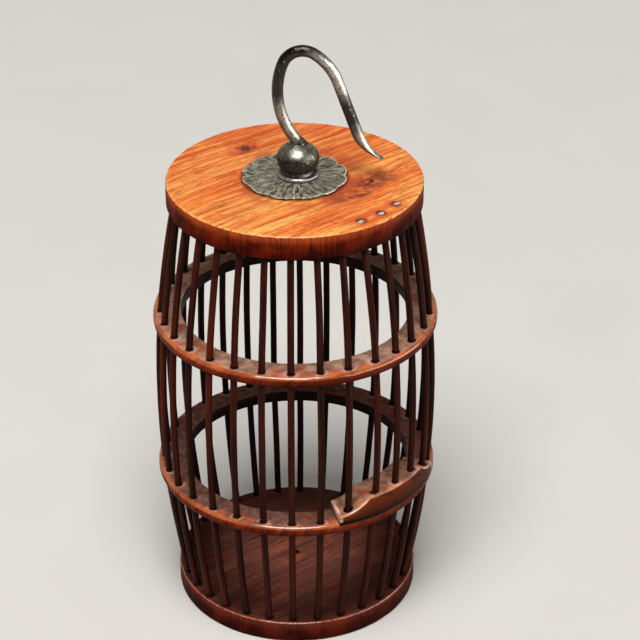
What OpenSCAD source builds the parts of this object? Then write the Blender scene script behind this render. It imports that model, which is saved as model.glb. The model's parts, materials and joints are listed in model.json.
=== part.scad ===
// Barrel-shaped cage for a singing cricket. A turned lid and a turned base are joined by
// bent hardwood bars, which pass through two flat hoops. Three of the bars are set in a
// curved foot that rests on the lower hoop: foot and bars slide up through the upper hoop
// and the lid as a door, guided by the fixed bars on either side. A forged hook turns on a
// pin in the middle of the lid.
// Millimetres, +Z up. The origin is the middle of the underside of the base.

/* [Lid and base] */
// Diameter of the base
base_d = 100; // [90:0.5:110]
// Diameter of the lid
lid_d = 100.8; // [92:0.2:114]
// Thickness of the lid
lid_t = 10; // [8:0.5:14]
// Thickness of the base
base_t = 9.2; // [8:0.2:14]
// Height of the cage, from the table to the top of the lid
cage_h = 188; // [175:1:220]
// Rounding of the edges of the lid and the base
disc_round = 0.9; // [0.3:0.1:1.2]
// Diameter of the turner's centre hole in the base
centre_hole_d = 2.5; // [1:0.1:5]
// Depth of the centre hole
centre_hole_depth = 5; // [2:0.5:7]

/* [Bars] */
// Number of bars round the cage
bar_count = 30; // [26:1:32]
// Diameter of a bar
bar_d = 2.7; // [1.8:0.1:2.8]
// Distance from the edge of the base to the circle of bar centres, in the base and the lid
bar_inset = 2.8; // [2.6:0.1:5]
// How far the bars swell outwards between the base and the lid
belly = 8.3; // [4:0.1:13]
// How deep the bars sit in the base, the lid and the door foot
socket_depth = 6; // [4:0.5:7]
// Turn of the front bar away from the middle of the front, in degrees
front_turn = -1.3; // [-6:0.1:6]

/* [Hoops] */
// Thickness of a hoop
hoop_t = 4.9; // [4:0.1:7]
// Width of a hoop, from its inner to its outer edge
hoop_w = 11.5; // [8:0.5:14]
// Distance from the bar centres to the outer edge of a hoop
hoop_lip = 3; // [2.6:0.1:4]
// Rounding of the outer edge of a hoop
hoop_round = 1.8; // [0.4:0.1:1.9]
// Height of the underside of the lower hoop
lower_hoop_z = 56.7; // [45:0.1:68]
// Height of the underside of the upper hoop
upper_hoop_z = 125.9; // [112:0.1:138]
// Wood left above the short bars in the lower hoop
hoop_skin = 1; // [0.6:0.1:2]

/* [Door] */
// Which bar is the middle one of the door, counted from the front bar to the right
door_bar = 4; // [3:1:8]
// Height of the door foot
door_h = 8.8; // [7.5:0.1:12]
// Length of the foot past its outermost guide hole, along the bar circle
door_overhang = 4.4; // [4:0.1:6]
// How far the foot stands out past the edge of the lower hoop
door_proud = 0.5; // [0.1:0.1:1.5]
// Rounding of the outer edge of the foot
door_round = 0.7; // [0.3:0.1:1.5]
// Length of the thumb scoop at each end of the foot, along its outer edge
scoop_l = 13; // [9:0.5:15]
// Drop of the thumb scoop at the outer corner of the foot
scoop_drop = 5.4; // [2:0.1:5.5]
// Radius of the hollow of the thumb scoop
scoop_r = 20; // [16:0.5:40]

/* [Hook] */
// Diameter of the hook's wire
hook_d = 4.5; // [3:0.1:4.6]
// Distance of the hook's pin from the middle of the lid, to the right
hook_x = 1.4; // [0:0.1:3]
// Lean of the wire to the left where it leaves the bead, in degrees
hook_lean = 36.5; // [30:0.5:40]
// Length of the wire that is set in the bead
hook_set = 5; // [4:0.1:5.5]
// Straight length between the bead and the first bend
neck_l = 2.3; // [1:0.1:5]
// Bend radius of the neck
neck_r = 32.5; // [28:0.5:38]
// Turn of the neck, in degrees
neck_turn = 57; // [52:0.5:60]
// Bend radius of the crown
crown_r = 8.1; // [6:0.1:10]
// Turn of the crown, in degrees
crown_turn = 103.5; // [98:0.5:106]
// Bend radius of the shoulder
shoulder_r = 23; // [20:0.1:27]
// Turn of the shoulder, in degrees
shoulder_turn = 36.5; // [33:0.5:39]
// Straight length of the point limb
limb_l = 22.4; // [18:0.1:24]
// Bend radius of the turned-out point
point_r = 19; // [15:0.5:24]
// Turn of the point, in degrees
point_turn = 46; // [35:0.5:50]
// Thickness of the flattened point
point_t = 1.3; // [0.8:0.1:2]
// Width of the flattened point
point_w = 3.2; // [2:0.1:4]

/* [Hook seat] */
// Diameter of the rosette plate over its lobes
rosette_d = 41.6; // [34:0.2:46]
// Thickness of the rosette plate
rosette_t = 1; // [0.6:0.1:2]
// Number of lobes round the rosette
rosette_lobes = 12; // [8:1:16]
// Depth of the notches between the lobes
lobe_depth = 1.2; // [0.6:0.1:2]
// Diameter of the collar under the bead
collar_d = 16.6; // [14:0.2:20]
// Thickness of the collar's flange
collar_t = 1.7; // [1.2:0.1:3]
// Diameter of the collar's raised seat
seat_d = 11.8; // [9:0.2:13]
// Height of the raised seat
seat_t = 1.1; // [0.6:0.1:2]
// Diameter of the bead
bead_d = 16.6; // [15.5:0.1:18]
// Height of the whole bead, before its foot is cut flat
bead_h = 13.6; // [13:0.1:15]
// Section radius of the bead at its widest
bead_round = 5.5; // [5:0.1:6]
// Diameter of the flat foot of the bead
bead_foot_d = 12.6; // [11:0.1:13]
// Diameter of the pin that the hook turns on
pin_d = 3.6; // [2.6:0.1:4]
// Diameter of the washer under the lid
washer_d = 11; // [8:0.2:14]
// Thickness of the washer
washer_t = 1; // [0.6:0.1:2]
// Diameter of the riveted head of the pin
head_d = 6.8; // [5.5:0.1:7.5]
// Height of the riveted head
head_t = 1.8; // [1:0.1:2.5]

/* [Clearances] */
// Gap round a bar that is glued in its hole
socket_gap = 0.05; // [0.03:0.01:0.15]
// Gap round a sliding door bar
slide_gap = 0.3; // [0.2:0.05:0.5]
// Gap round a fixed bar in the guide holes of the door foot
guide_gap = 0.9; // [0.75:0.05:1.1]
// Gap round the hook's pin
running_gap = 0.06; // [0.02:0.01:0.1]
// Gap between faces that rest or turn on each other
rest_gap = 0.2; // [0.1:0.05:0.4]

/* [Hidden] */
$fn = 96;
// Segments in a full turn of the bars' large arc, and round a bar
arc_fn = 360;
bar_fn = 32;
// Sides of the hook's wire, and the turn of one step of its bends
wire_sides = 20;
bend_step = 5;
// Extra length of a cut past the face that it opens
cut = 2;

pitch = 360 / bar_count;
lid_z = cage_h - lid_t;

// The bars follow one arc in the upright plane through the axis of the cage
mid_z = (base_t + lid_z) / 2;
end_r = base_d / 2 - bar_inset;
half_span = (lid_z - base_t) / 2;
arc_r = (half_span * half_span + belly * belly) / (2 * belly);
arc_x = end_r + belly - arc_r;
bar_foot_z = base_t - socket_depth;
bar_head_z = lid_z + socket_depth;

// The lower and upper hoops, and the foot of the door on the lower one
lower_top_z = lower_hoop_z + hoop_t;
lower_r = bar_r(lower_hoop_z + hoop_t / 2) + hoop_lip;
upper_r = bar_r(upper_hoop_z + hoop_t / 2) + hoop_lip;
door_z = lower_top_z + rest_gap;
door_top_z = door_z + door_h;
door_r = lower_r + door_proud;
door_half = 2 * pitch + to_degrees(door_overhang, bar_r(door_z));

// The hollow of a thumb scoop is an arc: its chord runs from the flat top of the foot down
// to the outer corner, and its centre is scoop_y past the start of the scoop and scoop_z up
scoop_span = to_degrees(scoop_l, door_r);
scoop_run = door_r * sin(scoop_span);
scoop_chord = sqrt(scoop_run * scoop_run + scoop_drop * scoop_drop);
scoop_bow = sqrt(scoop_r * scoop_r - scoop_chord * scoop_chord / 4);
scoop_y = scoop_run / 2 + scoop_bow * scoop_drop / scoop_chord;
scoop_z = scoop_bow * scoop_run / scoop_chord - scoop_drop / 2;

// The door's bars lie in parallel planes, so that all three slide along themselves
door_pitch_r = (bar_r(door_top_z) + bar_r(cage_h)) / 2;
door_pitch = door_pitch_r * sin(pitch);
side_arc_r = arc_r - door_pitch_r * (1 - cos(pitch));

// Heights of the hook's seat
rosette_top_z = cage_h + rosette_t;
seat_z = rosette_top_z + collar_t + seat_t;
bead_foot_z = seat_z + rest_gap;
head_z = lid_z - washer_t - rest_gap;

// The bead's section: a small arc at its widest, and a large arc over the top and bottom
bead_ring_r = bead_d / 2 - bead_round;
bead_rise = bead_h / 2 - bead_round;
bead_cap_x = (bead_ring_r * bead_ring_r - bead_rise * bead_rise) / (2 * bead_rise);
bead_cap_r = bead_h / 2 + bead_cap_x;
bead_meet_r = bead_ring_r * bead_cap_r / (bead_cap_r - bead_round);
bead_foot_h = sqrt(bead_cap_r * bead_cap_r - bead_foot_d * bead_foot_d / 4) - bead_cap_x;
bead_z = bead_foot_z + bead_foot_h;
bead_top_z = bead_z + bead_h / 2;

// The hook's wire, from its root in the bead to its point: each stage is a straight
// [0, length] or a bend [radius, turn], with a turn to the right counted positive
hook_root = [hook_set * sin(hook_lean), bead_top_z - hook_set * cos(hook_lean), -hook_lean];
hook_stages = [
    [0, hook_set + neck_l],
    [neck_r, neck_turn],
    [crown_r, crown_turn],
    [shoulder_r, shoulder_turn],
    [0, limb_l],
    [point_r, -point_turn]
];

// The lobes of the rosette are arcs that meet in the notches
rosette_r = rosette_d / 2;
notch_r = rosette_r - lobe_depth;
lobe_half = 180 / rosette_lobes;
lobe_x = (rosette_r * rosette_r - notch_r * notch_r) / (2 * (rosette_r - notch_r * cos(lobe_half)));
lobe_r = rosette_r - lobe_x;

wood_bar = "#3d1c12";
wood_hoop = "#7c3519";
wood_disc = "#b8622e";
iron = "#55534e";

fixed_bars = [for (k = [0 : bar_count - 1]) if (abs(k - door_bar) > 1) k];
door_sides = [-1, 0, 1];

function bar_name(k) = str("bar_", k < 9 ? "0" : "", k + 1);
function short_bar_name(side) = str("short_bar_", side + 2);
function door_bar_name(side) = str("door_bar_", side + 2);

function to_degrees(length, radius) = length / radius * 180 / PI;
function bar_angle(k) = -90 + front_turn + k * pitch;
// Angle of a bent bar's arc at a height, and the bar's distance from the axis there
function lean(z, r) = asin((z - mid_z) / r);
function bar_r(z) = arc_x + arc_r * cos(lean(z, arc_r));
function door_arc_r(side) = side == 0 ? arc_r : side_arc_r;

// A bar bent to radius r, from height z0 to height z1
module bent_bar(r, z0, z1)
    translate([arc_x, 0, mid_z]) rotate([90, 0, 0]) rotate([0, 0, lean(z0, r)])
        rotate_extrude(angle = lean(z1, r) - lean(z0, r), $fn = arc_fn)
            translate([r, 0]) circle(d = bar_d, $fn = bar_fn);

// Drills along a bent bar of radius r, from height z0 to height z1
module bar_hole(r, z0, z1, gap) {
    z = (z0 + z1) / 2;
    tilt = lean(z, r);
    translate([arc_x + r * cos(tilt), 0, z]) rotate([0, -tilt, 0])
        cylinder(d = bar_d + 2 * gap, h = (z1 - z0) / cos(tilt), center = true, $fn = bar_fn);
}

module at_bar(k) rotate([0, 0, bar_angle(k)]) children();
module at_door_bar(side) at_bar(door_bar) translate([0, side * door_pitch, 0]) children();

// Section of a turned rim, rounded at its two outer corners
module rim_section(inner_r, outer_r, h, corner_r) {
    translate([inner_r, 0]) square([outer_r - corner_r - inner_r, h]);
    translate([inner_r, corner_r]) square([outer_r - inner_r, h - 2 * corner_r]);
    for (y = [corner_r, h - corner_r])
        translate([outer_r - corner_r, y]) circle(r = corner_r);
}

module disc(d, h) rotate_extrude() rim_section(0, d / 2, h, disc_round);

module base() color(wood_disc) difference() {
    disc(base_d, base_t);
    for (k = [0 : bar_count - 1])
        at_bar(k) bar_hole(arc_r, bar_foot_z - socket_gap, base_t + cut, socket_gap);
    translate([0, 0, base_t - centre_hole_depth]) cylinder(d = centre_hole_d, h = centre_hole_depth + cut);
}

module hoop(outer_r) rotate_extrude() rim_section(outer_r - hoop_w, outer_r, hoop_t, hoop_round);

module lower_hoop() color(wood_hoop) difference() {
    translate([0, 0, lower_hoop_z]) hoop(lower_r);
    for (k = fixed_bars)
        at_bar(k) bar_hole(arc_r, lower_hoop_z - cut, lower_top_z + cut, socket_gap);
    for (side = door_sides)
        at_bar(door_bar + side)
            bar_hole(arc_r, lower_hoop_z - cut, lower_top_z - hoop_skin + socket_gap, socket_gap);
}

module upper_hoop() color(wood_hoop) difference() {
    translate([0, 0, upper_hoop_z]) hoop(upper_r);
    for (k = fixed_bars)
        at_bar(k) bar_hole(arc_r, upper_hoop_z - cut, upper_hoop_z + hoop_t + cut, socket_gap);
    for (side = door_sides)
        at_door_bar(side)
            bar_hole(door_arc_r(side), upper_hoop_z - cut, upper_hoop_z + hoop_t + cut, slide_gap);
}

module lid() color(wood_disc) difference() {
    translate([0, 0, lid_z]) disc(lid_d, lid_t);
    for (k = fixed_bars)
        at_bar(k) bar_hole(arc_r, lid_z - cut, bar_head_z + socket_gap, socket_gap);
    for (side = door_sides)
        at_door_bar(side) bar_hole(door_arc_r(side), lid_z - cut, cage_h + cut, slide_gap);
    pin_bore(lid_z, cage_h);
}

module bar(k) color(wood_bar) at_bar(k) bent_bar(arc_r, bar_foot_z, bar_head_z);

module short_bar(side) color(wood_bar)
    at_bar(door_bar + side) bent_bar(arc_r, bar_foot_z, lower_top_z - hoop_skin);

module thumb_scoop() rotate([0, 0, door_half - scoop_span])
    translate([lower_r - hoop_w - cut, scoop_y, door_top_z + scoop_z]) rotate([0, 90, 0])
        cylinder(r = scoop_r, h = hoop_w + door_proud + 2 * cut);

module door_foot() color(wood_hoop) difference() {
    at_bar(door_bar) difference() {
        translate([0, 0, door_z]) rotate([0, 0, -door_half])
            rotate_extrude(angle = 2 * door_half)
                rim_section(lower_r - hoop_w, door_r, door_h, door_round);
        thumb_scoop();
        mirror([0, 1, 0]) thumb_scoop();
    }
    for (side = door_sides)
        at_door_bar(side)
            bar_hole(door_arc_r(side), door_top_z - socket_depth - socket_gap, door_top_z + cut, socket_gap);
    for (k = [door_bar - 2, door_bar + 2])
        at_bar(k) bar_hole(arc_r, door_z - cut, door_top_z + cut, guide_gap);
}

// A door bar is trimmed level with the top of the lid
module door_slide_bar(side) color(wood_bar) difference() {
    at_door_bar(side) bent_bar(door_arc_r(side), door_top_z - socket_depth, cage_h + bar_d);
    translate([-lid_d / 2, -lid_d / 2, cage_h]) cube([lid_d, lid_d, 2 * bar_d]);
}

module at_hook() translate([hook_x, 0, 0]) children();

module pin_bore(z0, z1) at_hook() translate([0, 0, z0 - cut])
    cylinder(d = pin_d + 2 * running_gap, h = z1 - z0 + 2 * cut);

module rosette() color(iron) difference() {
    translate([0, 0, cage_h]) linear_extrude(rosette_t) {
        circle(r = notch_r);
        for (i = [0 : rosette_lobes - 1])
            rotate((2 * i + 1) * lobe_half) translate([lobe_x, 0]) circle(r = lobe_r);
    }
    pin_bore(cage_h, rosette_top_z);
}

module collar() color(iron) difference() {
    at_hook() translate([0, 0, rosette_top_z]) rotate_extrude() {
        rim_section(0, collar_d / 2, collar_t, collar_t / 2 - socket_gap);
        square([seat_d / 2, collar_t + seat_t]);
    }
    pin_bore(rosette_top_z, seat_z);
}

module washer() color(iron) difference() {
    at_hook() translate([0, 0, lid_z - washer_t]) cylinder(d = washer_d, h = washer_t);
    pin_bore(lid_z - washer_t, lid_z);
}

// The pin's lower end is hammered over into a low head
module swivel_pin() color(iron) at_hook() {
    translate([0, 0, head_z - head_t / 2]) cylinder(d = pin_d, h = bead_z - head_z + head_t / 2);
    translate([0, 0, head_z - head_t / 2]) cylinder(d = head_d, h = head_t / 2);
    translate([0, 0, head_z - head_t]) cylinder(d1 = pin_d, d2 = head_d, h = head_t / 2);
}

module bead_section() intersection() {
    translate([0, -bead_foot_h]) square([bead_d, bead_foot_h + bead_h]);
    union() {
        translate([bead_ring_r, 0]) circle(r = bead_round);
        intersection() {
            translate([0, -bead_cap_x]) circle(r = bead_cap_r);
            translate([0, bead_cap_x]) circle(r = bead_cap_r);
            translate([-bead_meet_r, -bead_h / 2]) square([2 * bead_meet_r, bead_h]);
        }
    }
}

module bead() color(iron) difference() {
    at_hook() translate([0, 0, bead_z]) rotate_extrude() bead_section();
    at_hook() translate([0, 0, bead_foot_z - cut])
        cylinder(d = pin_d + 2 * socket_gap, h = bead_z - bead_foot_z + cut + socket_gap);
    at_neck() translate([0, 0, -hook_set - socket_gap])
        cylinder(d = hook_d + 2 * socket_gap, h = hook_set + bead_h);
}

// The wire's path starts on top of the bead, on the pin's line, and leans to the left
module at_neck() at_hook() translate([0, 0, bead_top_z]) rotate([0, -hook_lean, 0]) children();

// A place on the path is [x, z, heading], with the heading counted from +Z towards +X. This
// gives the place after a share t of a stage, which is a straight or a bend.
function along(place, stage, t) =
    let (r = stage[0], run = t * stage[1], h = place[2], side = sign(run))
    r == 0
        ? [place[0] + run * sin(h), place[1] + run * cos(h), h]
        : [place[0] + side * r * (cos(h) - cos(h + run)), place[1] + side * r * (sin(h + run) - sin(h)), h + run];
function stage_start(i) = i == 0 ? hook_root : along(stage_start(i - 1), hook_stages[i - 1], 1);
function stage_steps(stage) = stage[0] == 0 ? 1 : ceil(abs(stage[1]) / bend_step);

// The wire is round up to its last stage, where it is drawn out to a flat point
function drawn(t, end) = (hook_d + (end - hook_d) * t * t * (3 - 2 * t)) / 2;
function wire_ring(place, t) =
    let (half_t = drawn(t, point_t), half_w = drawn(t, point_w))
    [for (i = [0 : wire_sides - 1])
        let (c = 360 * i / wire_sides, off = half_t * cos(c))
        [place[0] + off * cos(place[2]), half_w * sin(c), place[1] - off * sin(place[2])]];

// Closed skin over rings of points, each with the same number of points
module skin(rings) {
    n = len(rings[0]);
    last = len(rings) - 1;
    sides = [for (s = [0 : last - 1], i = [0 : n - 1])
        let (a = s * n + i, b = s * n + (i + 1) % n)
        each [[a, a + n, b], [b, a + n, b + n]]];
    caps = [[for (i = [0 : n - 1]) i], [for (i = [n - 1 : -1 : 0]) last * n + i]];
    polyhedron([for (ring = rings) each ring], concat(sides, caps));
}

module hook() color(iron) at_hook() skin(concat(
    [wire_ring(hook_root, 0)],
    [for (i = [0 : len(hook_stages) - 1])
        let (stage = hook_stages[i], start = stage_start(i), steps = stage_steps(stage))
        for (s = [1 : steps])
            wire_ring(along(start, stage, s / steps), i == len(hook_stages) - 1 ? s / steps : 0)]
));

base();
lower_hoop();
upper_hoop();
lid();
for (k = fixed_bars) bar(k);
for (side = door_sides) short_bar(side);
door_foot();
for (side = door_sides) door_slide_bar(side);
rosette();
collar();
washer();
swivel_pin();
bead();
hook();
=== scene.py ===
import json
import math
import random

import bmesh
import bpy
from mathutils import Matrix, Vector, noise
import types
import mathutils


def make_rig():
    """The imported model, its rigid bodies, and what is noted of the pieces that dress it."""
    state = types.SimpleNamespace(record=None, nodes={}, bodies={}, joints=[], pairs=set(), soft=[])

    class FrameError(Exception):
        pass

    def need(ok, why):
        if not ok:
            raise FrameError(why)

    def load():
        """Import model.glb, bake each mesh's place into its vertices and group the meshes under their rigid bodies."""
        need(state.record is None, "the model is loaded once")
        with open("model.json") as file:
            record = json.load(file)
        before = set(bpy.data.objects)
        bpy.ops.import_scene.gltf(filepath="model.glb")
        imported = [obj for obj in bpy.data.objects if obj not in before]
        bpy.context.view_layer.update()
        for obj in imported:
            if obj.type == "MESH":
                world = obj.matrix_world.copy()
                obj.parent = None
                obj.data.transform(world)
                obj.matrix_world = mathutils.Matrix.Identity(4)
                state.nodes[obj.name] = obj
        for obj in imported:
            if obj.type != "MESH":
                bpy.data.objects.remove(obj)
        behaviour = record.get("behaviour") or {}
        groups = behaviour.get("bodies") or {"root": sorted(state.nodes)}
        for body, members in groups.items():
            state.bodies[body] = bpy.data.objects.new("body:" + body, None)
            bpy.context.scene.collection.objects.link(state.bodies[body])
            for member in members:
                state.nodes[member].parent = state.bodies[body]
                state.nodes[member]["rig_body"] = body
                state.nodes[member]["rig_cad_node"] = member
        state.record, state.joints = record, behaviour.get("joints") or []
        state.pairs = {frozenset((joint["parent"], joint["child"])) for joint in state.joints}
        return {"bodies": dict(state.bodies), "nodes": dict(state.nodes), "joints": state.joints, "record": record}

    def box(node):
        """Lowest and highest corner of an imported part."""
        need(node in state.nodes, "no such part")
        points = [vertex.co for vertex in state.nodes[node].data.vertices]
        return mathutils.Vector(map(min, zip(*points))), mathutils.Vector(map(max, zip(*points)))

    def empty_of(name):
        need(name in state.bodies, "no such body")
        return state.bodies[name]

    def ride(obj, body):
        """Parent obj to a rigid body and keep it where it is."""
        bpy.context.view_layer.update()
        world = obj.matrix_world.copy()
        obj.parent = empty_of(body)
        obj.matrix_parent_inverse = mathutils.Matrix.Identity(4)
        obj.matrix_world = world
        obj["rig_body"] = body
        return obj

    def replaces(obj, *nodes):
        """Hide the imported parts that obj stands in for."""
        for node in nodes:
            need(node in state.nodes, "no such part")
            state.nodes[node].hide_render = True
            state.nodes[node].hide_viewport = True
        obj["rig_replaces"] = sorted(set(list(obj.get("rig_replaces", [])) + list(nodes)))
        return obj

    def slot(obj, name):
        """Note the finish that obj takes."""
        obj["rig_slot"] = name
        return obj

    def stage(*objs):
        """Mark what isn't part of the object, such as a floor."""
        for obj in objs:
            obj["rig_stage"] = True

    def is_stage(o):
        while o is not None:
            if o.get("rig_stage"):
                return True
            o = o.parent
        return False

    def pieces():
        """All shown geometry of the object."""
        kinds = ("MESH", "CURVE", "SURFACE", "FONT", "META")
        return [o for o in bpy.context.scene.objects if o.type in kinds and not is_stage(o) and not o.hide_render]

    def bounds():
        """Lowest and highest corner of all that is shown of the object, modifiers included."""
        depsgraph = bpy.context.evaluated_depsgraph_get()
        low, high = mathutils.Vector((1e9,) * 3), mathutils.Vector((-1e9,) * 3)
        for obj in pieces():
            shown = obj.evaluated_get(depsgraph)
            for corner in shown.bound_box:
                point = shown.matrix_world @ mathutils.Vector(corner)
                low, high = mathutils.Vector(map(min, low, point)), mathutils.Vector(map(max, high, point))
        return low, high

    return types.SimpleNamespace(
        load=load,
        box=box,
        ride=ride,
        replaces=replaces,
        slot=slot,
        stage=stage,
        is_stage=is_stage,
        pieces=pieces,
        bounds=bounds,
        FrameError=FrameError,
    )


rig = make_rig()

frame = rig.load()
cad_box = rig.bounds()

# Base: a disc of reddish hardwood, turned on a lathe, with its edges just broken. A ring of
# blind holes takes the feet of the bars, and the small hole in the middle was left by the
# turner's centre. Its floor has gathered dust between the bars.
MM = 0.001
base_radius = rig.box("base")[1].x
base_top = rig.box("base")[1].z
disc_round = 0.9 * MM
disc_steps = 360
disc_unevenness = 0.06 * MM
base_nicks = 0.5 * MM
centre_hole_width = 2.5 * MM
centre_hole_depth = 5 * MM

# The bars follow one arc in the upright plane through the axis of the cage
bar_count = 30
bar_width = 2.7 * MM
bar_pitch = 2 * math.pi / bar_count
front_bar_turn = math.radians(-91.3)
bar_inset = 2.8 * MM
bar_belly = 8.3 * MM
bar_set = 6 * MM
hole_gap = 0.05 * MM
lid_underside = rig.box("lid")[0].z
lid_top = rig.box("lid")[1].z
bar_middle = (base_top + lid_underside) / 2
half_span = (lid_underside - base_top) / 2
bend_radius = (half_span ** 2 + bar_belly ** 2) / (2 * bar_belly)
bend_centre = base_radius - bar_inset + bar_belly - bend_radius


def bar_reach(height):
    """Distance of a bent bar from the axis of the cage at a height."""
    return bend_centre + math.sqrt(bend_radius ** 2 - (height - bar_middle) ** 2)


def bar_point(turn, height):
    """Place on a bent bar that stands at a turn about the axis."""
    return Vector((bar_reach(height) * math.cos(turn), bar_reach(height) * math.sin(turn), height))


def bar_turn(number):
    return front_bar_turn + number * bar_pitch


def bar_hole(number, low, high, gap):
    """Hole for a bar between two heights, as (one end, other end, width)."""
    turn = bar_turn(number)
    return bar_point(turn, low), bar_point(turn, high), bar_width + 2 * gap


def upright_hole(middle, low, high, width):
    return middle + Vector((0, 0, low)), middle + Vector((0, 0, high)), width


def placed(name, data):
    """Object of a mesh, curve, light or camera, put in the scene."""
    thing = bpy.data.objects.new(name, data)
    bpy.context.scene.collection.objects.link(thing)
    return thing


def mesh_piece(name, points, faces):
    """Object of a closed mesh with its faces outwards."""
    mesh = bpy.data.meshes.new(name)
    mesh.from_pydata(points, [], faces)
    shape = bmesh.new()
    shape.from_mesh(mesh)
    bmesh.ops.remove_doubles(shape, verts=shape.verts, dist=0.001 * MM)
    bmesh.ops.recalc_face_normals(shape, faces=shape.faces)
    shape.to_mesh(mesh)
    shape.free()
    return placed(name, mesh)


def smooth(piece, sharp_degrees=32):
    """Shades a piece smooth, apart from its sharp edges."""
    piece.data.shade_smooth()
    piece.data.set_sharp_from_angle(angle=math.radians(sharp_degrees))


def stood(outline, turn):
    """Outline of (radius, height) points, stood upright at a turn about the axis."""
    return [(reach * math.cos(turn), reach * math.sin(turn), height) for reach, height in outline]


def row_faces(rows, count, ring, all_round=True):
    """Faces between rows of a count of points. In a ring the last point of a row meets its first,
    and all round the last row meets the first."""
    faces = []
    for row in range(rows if all_round else rows - 1):
        here = row * count
        there = (row + 1) % rows * count
        for i in range(count if ring else count - 1):
            j = (i + 1) % count
            faces.append((here + i, there + i, there + j, here + j))
    return faces


def turned(name, outline, steps, ring=False):
    """Piece of an outline turned about the axis. A ring's outline is a closed loop, and any other
    is closed by a flat face at its first and last point."""
    count = len(outline)
    points = []
    for step in range(steps):
        points += stood(outline, 2 * math.pi * step / steps)
    faces = row_faces(steps, count, ring)
    if not ring:
        faces.append([step * count for step in reversed(range(steps))])
        faces.append([step * count + count - 1 for step in range(steps)])
    return mesh_piece(name, points, faces)


def arc(centre, radius, start, end, steps):
    """Points of an arc between two angles in degrees, both ends included."""
    angles = [math.radians(start + (end - start) * i / steps) for i in range(steps + 1)]
    return [(centre[0] + radius * math.cos(a), centre[1] + radius * math.sin(a)) for a in angles]


def disc_outline(low, high, radius):
    """Outline of a turned disc, from the flat below its rounded edge to the flat above it."""
    steps = 8
    support = 0.6 * MM
    flat = radius - disc_round
    wall = [low + disc_round + (high - low - 2 * disc_round) * i / steps for i in range(1, steps)]
    return (
        [(flat - support, low)]
        + arc((flat, low + disc_round), disc_round, -90, 0, steps)
        + [(radius, height) for height in wall]
        + arc((flat, high - disc_round), disc_round, 0, 90, steps)
        + [(flat - support, high)]
    )


def hand_worn(piece, unevenness, nick_depth):
    """Makes the rim a little uneven, and nicks its rounded edges here and there."""
    flat_tilt = 0.97
    wave_length = 7 * MM
    nick_length = 1.7 * MM
    nick_level = 0.32
    for point in piece.data.vertices:
        tilt = abs(point.normal.z)
        if tilt > flat_tilt:
            continue
        shift = unevenness * noise.noise(point.co / wave_length)
        nick = max(0.0, noise.noise(point.co / nick_length) - nick_level)
        on_edge = 4 * tilt * (1 - tilt)
        point.co += point.normal * (shift - unevenness - nick * on_edge * nick_depth)


def made_plain(piece):
    """Turns a piece with modifiers into a plain mesh."""
    before = piece.data
    evaluated = piece.evaluated_get(bpy.context.evaluated_depsgraph_get())
    piece.data = bpy.data.meshes.new_from_object(evaluated)
    piece.modifiers.clear()
    bpy.data.meshes.remove(before)


def drilled(piece, holes, sides=28):
    """Cuts round holes, each given as (one end, other end, width), out of a piece."""
    drills = bmesh.new()
    for start, end, width in holes:
        along = end - start
        place = Matrix.Translation((start + end) / 2) @ along.to_track_quat("Z", "Y").to_matrix().to_4x4()
        bmesh.ops.create_cone(drills, cap_ends=True, segments=sides, radius1=width / 2,
                              radius2=width / 2, depth=along.length, matrix=place)
    mesh = bpy.data.meshes.new("drills")
    drills.to_mesh(mesh)
    drills.free()
    cutter = placed("drills", mesh)
    cut = piece.modifiers.new("Holes", "BOOLEAN")
    cut.operation = "DIFFERENCE"
    cut.solver = "EXACT"
    cut.object = cutter
    made_plain(piece)
    bpy.data.objects.remove(cutter)
    bpy.data.meshes.remove(mesh)


def fitted(piece, finish, body, slot, *nodes):
    """Gives a finished piece its material and its place in the part."""
    piece.data.materials.clear()
    piece.data.materials.append(finish)
    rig.ride(piece, body)
    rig.slot(piece, slot)
    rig.replaces(piece, *nodes)


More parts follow.
